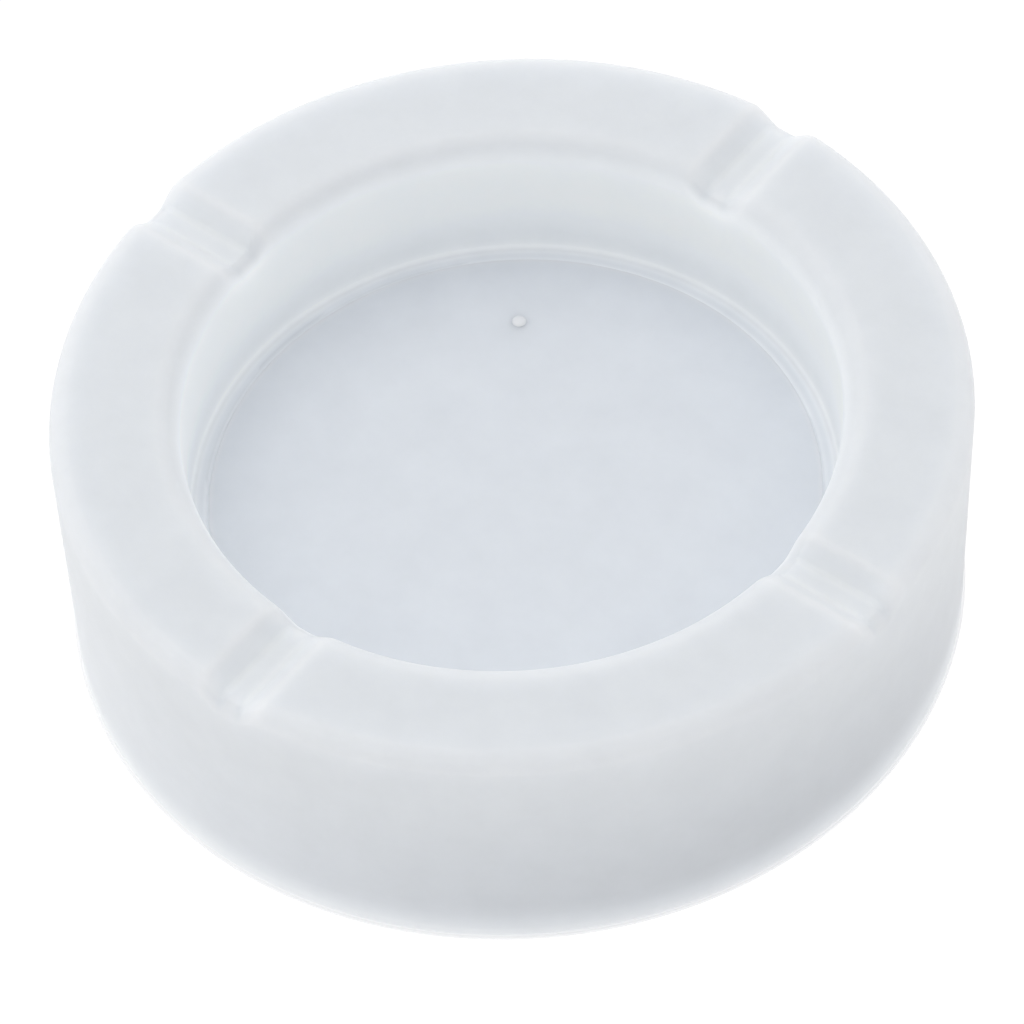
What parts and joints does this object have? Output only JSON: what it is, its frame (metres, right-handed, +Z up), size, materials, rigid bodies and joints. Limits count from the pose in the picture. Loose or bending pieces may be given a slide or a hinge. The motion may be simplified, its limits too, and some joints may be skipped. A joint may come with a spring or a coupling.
{
  "type": "resin casting mould",
  "caption": "Round thin-walled silicone mould, shown opening down, for casting a dished tray with a wide flat rim and rounded rests across it.",
  "frame": {"origin": "on the table, under the middle of the mould", "axes": "+Z up from the pouring opening to the flat rim, X and Y along the rests"},
  "size_m": [0.1098, 0.1098, 0.0346],
  "materials": {
    "silicone": "satin, translucent white"
  },
  "bodies": {
    "root": {"outer_wall": "silicone", "pour_lip": "silicone", "bowl_wall": "silicone", "bowl_floor": "silicone", "rim_quarter_1": "silicone", "rim_quarter_2": "silicone", "rim_quarter_3": "silicone", "rim_quarter_4": "silicone", "rest_1": "silicone", "rest_2": "silicone", "rest_3": "silicone", "rest_4": "silicone"}
  },
  "joints": []
}
